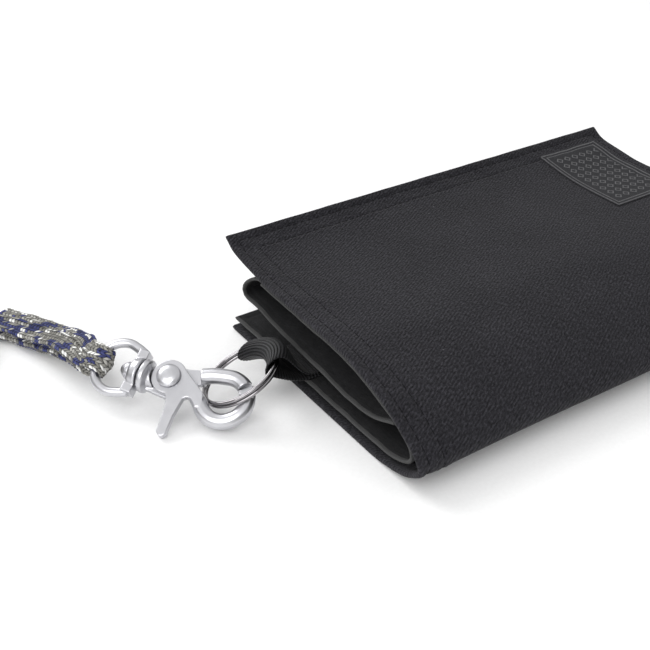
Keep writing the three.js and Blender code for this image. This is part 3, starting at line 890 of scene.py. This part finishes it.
# where a panel bends between the two bodies that it joins: (first body, second body, start, end)
BACK_BEND = ("wallet_back", "spine_lower", (0, -33.0, 1), (0, -40.5, 1))
NOSE_BEND = ("spine_lower", "spine_upper", (0, -48, 5.0), (0, -48, 13.5))
FRONT_BEND = ("spine_upper", "cover", (0, -42.5, 16.0), (0, -35.5, 20.0))


def bend(piece):
    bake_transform(piece)


def waves(s, x, size):
    """Slow unevenness of cloth, in millimetres."""
    w = np.sin(s / 17 + 0.6) * np.sin(x / 23 + 1.1) + 0.6 * np.sin(s / 9 - x / 31 + 2.0)
    return size * (w + 0.4 * np.sin(x / 11 + s / 13))


# the lowest that the middle of a cloth lies: its hem rests on the floor
LOWEST = 0.62 * SHELL

# hems: how much thicker they are and how wide, how deep and wide the groove at a row of stitches is,
# how far the cloth puckers, and the steps of the mesh inside a hem and further in
HEM_THICKER, HEM_WIDTH = 0.22, 8.5
GROOVE, GROOVE_WIDTH = 0.28, 0.6
PUCKER = 0.12
HEM_FINE, FINE_CLOTH, COARSE_CLOTH = 10.0, 0.45, 1.8


class Cloth:
    """A sheet that follows a line across the spine and runs the wallet's length."""

    def __init__(self, line, length, thickness, rows, hem, wave):
        self.line = line
        self.length = length
        self.thickness = thickness
        self.rows = rows
        self.hem = hem
        self.wave = wave

    def edge(self, s, x):
        """The distance from the nearest hemmed edge."""
        near = np.minimum(x, self.length - x)
        for wanted, distance in zip(self.hem, (s, self.line.length - s)):
            if wanted:
                near = np.minimum(near, distance)
        return near

    def rise(self, s, x):
        """How far the middle of the cloth lies outwards of the line."""
        near = self.edge(s, x)
        calm = smoothstep((near - 1) / 12)
        hem = smoothstep((near + 2) / 4) * smoothstep((14 - near) / 8) if self.rows else 0.0
        pucker = np.sin(s / 1.3 + 0.9 * np.sin(s / 4.1)) * np.sin(x / 1.5 + 1.1 * np.sin(x / 5.3) + 0.7)
        return waves(s, x, self.wave) * calm + PUCKER * hem * (pucker + np.sin(s / 2.7 + x / 3.1))

    def half(self, s, x):
        """Half the thickness: thicker where the hem is folded, pressed in at the stitches."""
        near = self.edge(s, x)
        thick = self.thickness / 2 * (1 + HEM_THICKER * (1 - smoothstep((near - HEM_WIDTH) / 1.5)))
        for row in self.rows:
            thick = thick - GROOVE * np.exp(-(((near - row) / GROOVE_WIDTH) ** 2))
        return thick

    def frame(self, s, x):
        """The middle of the cloth at a place, and the direction outwards there."""
        at = self.line.at(s)
        direction = self.line.direction(s)
        out = np.stack([-direction[..., 1], direction[..., 0]], axis=-1)
        rise = self.rise(s, x)
        height = np.maximum(at[..., 1] + out[..., 1] * rise, LOWEST)
        centre = np.stack([x - self.length / 2, at[..., 0] + out[..., 0] * rise, height], axis=-1)
        return centre, np.stack([0 * x, out[..., 0], out[..., 1]], axis=-1)

    def piece(self, name, first, last, material, open_start=False, open_end=False):
        """The part of the sheet from one place along the line to another."""
        rim = self.thickness / 2
        steps = (rim, COARSE_CLOTH, HEM_FINE, FINE_CLOTH)
        s = first + rim_steps(last - first, *steps, not open_start, not open_end)
        x = rim_steps(self.length, *steps)
        taper_s = rounding(s - first, last - first, rim, not open_start, not open_end)
        taper_x = rounding(x, self.length, rim)
        grid_s, grid_x = np.meshgrid(s, x, indexing="ij")
        centre, out = self.frame(grid_s, grid_x)
        half = self.half(grid_s, grid_x) * taper_s[:, None] * taper_x[None]
        uv = np.stack([grid_s, grid_x], axis=-1) * MM
        return slab(name, centre, out, half, uv, material, open_start, open_end)

    def surface(self, s, x, lift):
        """The outer face at a place, lifted, and the direction outwards there."""
        centre, out = self.frame(s, x)
        return centre + out * (self.half(s, x) + lift)[..., None], out


shell = Cloth(shell_line, LENGTH, SHELL, STITCH_ROWS, (True, True), wave=0.25)
liner = Cloth(liner_line, LENGTH - 2 * LINER_INSET, LINER, (INNER_ROW,), (True, False), wave=0.15)


def one_stitch(cloth, s, x, ds, dx):
    """A thread along (ds, dx), as four rows of three points, with its edges sunk in the cloth."""
    points = []
    for along, width in THREAD_ROWS:
        offset = along * STITCH_LENGTH / 2
        half_width = width * THREAD_HALF
        lift = 0.16 if width > 0 else 0.02
        for across, height in ((-1, THREAD_SUNK), (0, lift), (1, THREAD_SUNK)):
            place_s = np.array(s + ds * offset - dx * across * half_width)
            place_x = np.array(x + dx * offset + ds * across * half_width)
            points.append(cloth.surface(place_s, place_x, height)[0])
    return points


def stitches(name, cloth, runs):
    """Short threads along runs of (s, x) to (s, x), half sunk in the cloth."""
    vertices, faces = [], []
    for (s0, x0), (s1, x1) in runs:
        length = math.hypot(s1 - s0, x1 - x0)
        count = max(1, int(length / STITCH_PITCH))
        ds, dx = (s1 - s0) / length, (x1 - x0) / length
        for k in range(count):
            middle = (k + 0.5) / count
            base = len(vertices)
            vertices += one_stitch(cloth, s0 + (s1 - s0) * middle, x0 + (x1 - x0) * middle, ds, dx)
            for i in range(3):
                for j in range(2):
                    a = base + 3 * i + j
                    faces.append((a, a + 3, a + 4, a + 1))
    piece = new_object(name, np.array(vertices), faces, material=THREAD, smooth_angle=180)
    return piece


def row_runs(cloth, first, last, hem_start, hem_end):
    """The stitch rows of one panel: along both short ends and along a hemmed free edge."""
    runs = []
    for row in cloth.rows:
        low = row if hem_start else first
        high = cloth.line.length - row if hem_end else last
        for x in (row, cloth.length - row):
            runs.append(((low, x), (high, x)))
        if hem_start:
            runs.append(((row, row), (row, cloth.length - row)))
        if hem_end:
            runs.append(((high, row), (high, cloth.length - row)))
    return runs


def make_panel(cloth, kind, place, first, last, material, nodes):
    """One panel of the outer cloth or the lining: open where it meets the next panel at the spine."""
    open_start, open_end = first > 0, last < cloth.line.length
    piece = cloth.piece(f"{kind}_{place}", first, last, material, open_start, open_end)
    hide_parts(*nodes)
    bend(piece)
    if cloth is shell:
        runs = row_runs(cloth, first, last, not open_start, not open_end)
        bend(stitches(f"{kind}_{place}_stitches", cloth, runs))


def make_panels(cloth, kind, lower, upper, material):
    """The back panel, the strip round the spine, which stands for two CAD strips, and the front panel."""
    spine = [f"spine_lower_{kind}", f"spine_upper_{kind}"]
    panels = (("back", 0, lower, BACK_BEND, [f"back_{kind}"]), ("spine", lower, upper, NOSE_BEND, spine),
              ("front", upper, cloth.line.length, FRONT_BEND, [f"front_{kind}"]))
    for place, first, last, where, nodes in panels:
        make_panel(cloth, kind, place, first, last, material, nodes)


def make_pocket():
    """The inner pocket: one cloth folded back, with a row of stitches along its near short end."""
    length = LENGTH - 2 * POCKET_INSET
    pocket = Cloth(pocket_line, length, POCKET_WALL, (INNER_ROW,), (False, False), wave=0.12)
    wall = pocket.piece("pocket_cloth", 0, pocket_line.length, LINING)
    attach(wall, "cover")
    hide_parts("pocket_wall")
    runs = [((2.0, INNER_ROW), (pocket_line.length - 2, INNER_ROW))]
    thread = stitches("pocket_stitches", pocket, runs)
    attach(thread, "cover")
    make_pocket_end(pocket)


def make_pocket_end(pocket):
    """The sewn wall that closes the pocket at the far short end, between its floor and its roof."""
    nose = pocket_line.nearest(POCKET_NOSE)
    floor = pocket_line.points[pocket_line.along >= nose][::-1]
    lining = liner_line.points[liner_line.along > LINER_UPPER] - [0, LINER / 2]
    roof = np.vstack([lining, pocket_line.points[pocket_line.along <= nose]])
    y = np.linspace(-36, 44.2, 70)
    share = np.linspace(0, 1, 14)[None]
    low = np.interp(y, floor[:, 0], floor[:, 1])[:, None]
    high = np.interp(y, roof[:, 0], roof[:, 1])[:, None]
    z = low * (1 - share) + high * share
    x = pocket.length / 2 - 0.8 - 1.2 * np.sin(np.pi * share) + 0 * z
    centre = np.stack([x, y[:, None] + 0 * z, z], axis=-1)
    normal = np.tile([1.0, 0, 0], (*z.shape, 1))
    half = np.full(z.shape, POCKET_END / 2)
    half[0] = half[-1] = 0
    half[:, 0] = half[:, -1] = 0
    end = slab("pocket_end_cloth", centre, -normal, half, centre[..., 1:] * MM, LINING)
    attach(end, "cover")


def make_sleeves():
    """Card sleeves on the back lining, each with a hemmed mouth."""
    for number in (1, 2, 3):
        node = f"card_slot_{number}"
        low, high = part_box(node)
        low, high = np.array(low) / MM, np.array(high) / MM
        half = (high[2] - low[2]) / 2
        width, depth = high[1] - low[1], high[0] - low[0]
        y = rim_steps(width, half, 3.0)
        x = rim_steps(depth, half, 3.0, 6.0, 0.5)
        grid_y, grid_x = np.meshgrid(low[1] + y, low[0] + x, indexing="ij")
        mouth = grid_x - low[0]
        thick = half - 0.12 * np.exp(-(((mouth - INNER_ROW) / 0.5) ** 2)) - 0.05
        thick = thick * rounding(y, width, half)[:, None] * rounding(x, depth, half)[None]
        centre = np.stack([grid_x, grid_y, 0 * grid_x + (low[2] + high[2]) / 2], axis=-1)
        normal = np.zeros_like(centre)
        normal[..., 2] = -1
        uv = np.stack([grid_y, grid_x], axis=-1) * MM
        piece = slab(f"card_sleeve_{number}", centre, normal, thick, uv, LINING)
        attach(piece, "wallet_back")
        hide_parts(node)


def make_label():
    """The woven label, lifted a little off the front panel and following it."""
    low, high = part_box("label_patch")
    x0, x1 = low.x / MM + LENGTH / 2, high.x / MM + LENGTH / 2
    start = shell_line.nearest((low.y / MM, 27.0))
    end = shell_line.nearest((high.y / MM - 0.6, 30.9))
    half = LABEL_THICK / 2
    s = rim_steps(end - start, half, 1.2)
    x = rim_steps(x1 - x0, half, 1.2)
    grid_s, grid_x = np.meshgrid(s, x, indexing="ij")
    centre, out = shell.surface(grid_s + start, grid_x + x0, LABEL_LIFT)
    thick = half * rounding(s, end - start, half)[:, None] * rounding(x, x1 - x0, half)[None]
    uv = np.stack([grid_s, grid_x], axis=-1) * MM
    label = slab("label", centre, out, thick, uv, label_material((end - start) * MM, (x1 - x0) * MM))
    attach(label, "cover")
    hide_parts("label_patch")


make_panels(shell, "shell", SHELL_LOWER, SHELL_UPPER, TWILL)
make_panels(liner, "liner", LINER_LOWER, LINER_UPPER, LINING)
make_pocket()
make_sleeves()
make_label()


# ---- ribbon tab, split ring and hook

RING_AT = np.array([-94.7, 12.3, 9.45])
RING_SLOPE = (0.43, -0.235)
RING_RADIUS, RING_WIRE, RING_PITCH = 11.8, 0.55, 1.2
RING_CROSSOVER, RING_ENDS = 18, 23
RING_TURN = np.array(Vector((0, 0, 1)).rotation_difference(
    Vector((-RING_SLOPE[0], -RING_SLOPE[1], 1)).normalized()).to_matrix())

TAB_FROM, TAB_WIDTH, TAB_THICK = 4.2, 17.4, 0.6
TAB_SEWN = [(-69, 6.75), (-76.5, 7.2)]
TAB_ROUND_RING = [(2.4, 2.2), (-0.3, 2.4), (-2.6, 0.8), (-3, -1.6), (-1, -3.2)]
TAB_RETURN = [(-79, 6.2), (-69, 5.75)]

# each casting's node, the size of its voxels and how often it is smoothed
CASTINGS = (("hook_body", 0.17, 11), ("trigger_lever", 0.17, 11), ("trigger_rivet", 0.14, 8),
            ("swivel_pin", 0.14, 7), ("swivel_eye", 0.17, 10))


def ring_crossing(y):
    """Where the ring's arc nearest to the wallet crosses a plane across the row's Y axis."""
    angle = np.radians(np.linspace(-80, 80, 321))
    circle = np.stack([np.cos(angle), np.sin(angle), 0 * angle], axis=-1) * RING_RADIUS
    x, along, z = (RING_AT + circle @ RING_TURN.T).T
    return np.interp(y, along, x), np.interp(y, along, z)


def tab_profile(y):
    """The ribbon's line at one place across its width: out over the ring's wire and back through it."""
    x, z = ring_crossing(y)
    return Line(TAB_SEWN + [(x + dx, z + dz) for dx, dz in TAB_ROUND_RING] + TAB_RETURN)


def make_tab():
    """Grosgrain ribbon with ribs across its width, bent round the ring's arc."""
    w = rim_steps(TAB_WIDTH, TAB_THICK / 2, 0.9)
    middle = tab_profile(TAB_FROM + TAB_WIDTH / 2)
    points_per_rib = 10
    share = np.linspace(0, 1, int(middle.length / RIB_PITCH * points_per_rib) + 1)
    centre = np.zeros((len(share), len(w), 3))
    normal = np.zeros_like(centre)
    for i, y in enumerate(TAB_FROM + w):
        line = tab_profile(y)
        at, direction = line.at(share * line.length), line.direction(share * line.length, 0.8)
        centre[:, i] = np.stack([at[:, 0], y + 0 * share, at[:, 1]], axis=-1)
        normal[:, i] = np.stack([direction[:, 1], 0 * share, -direction[:, 0]], axis=-1)
    rib = abs(np.sin(math.pi * middle.length / RIB_PITCH * share)) ** 0.7
    half = TAB_THICK / 2 * (0.4 + 0.8 * rib)[:, None] * rounding(w, TAB_WIDTH, TAB_THICK / 2)[None]
    uv = np.stack(np.meshgrid(share * middle.length, w, indexing="ij"), axis=-1)
    tab = slab("ribbon_loop", centre, normal, half, uv * MM, RIBBON, True, True)
    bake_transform(tab)
    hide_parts("ribbon_tab")


def make_ring():
    """Two turns of wire with the step where one turn passes to the other."""
    angle = np.linspace(RING_ENDS, 720 - RING_ENDS, 260)
    a = np.radians(angle)
    step = smoothstep((angle - 360 + RING_CROSSOVER) / (2 * RING_CROSSOVER)) - 0.5
    points = np.stack([RING_RADIUS * np.cos(a), RING_RADIUS * np.sin(a), RING_PITCH * step], axis=-1)
    side = np.stack([np.cos(a), np.sin(a), 0 * a], axis=-1)
    axis = np.tile(RING_TURN[:, 2], (len(a), 1))
    outline = round_outline(RING_WIRE, 14)[:, ::-1]
    ring = tube("ring_wire", RING_AT + points @ RING_TURN.T, side @ RING_TURN.T, axis, outline, GUNMETAL)
    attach(ring, "ring")
    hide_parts("split_ring")


def cast(node, voxel, rounds):
    """A CAD part of the hook, with the soft edges of a die casting."""
    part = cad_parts[node]
    remesh = part.modifiers.new("cast", "REMESH")
    remesh.mode = "VOXEL"
    remesh.voxel_size = voxel * MM
    remesh.use_smooth_shade = True
    soften = part.modifiers.new("soften", "SMOOTH")
    soften.factor = 0.5
    soften.iterations = rounds
    plate(part)


def plate(part):
    part.data.materials.clear()
    part.data.materials.append(NICKEL)


def make_hook():
    for node, voxel, rounds in CASTINGS:
        cast(node, voxel, rounds)
    plate(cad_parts["trigger_spring"])


make_tab()
make_ring()
make_hook()

bpy.context.view_layer.update()
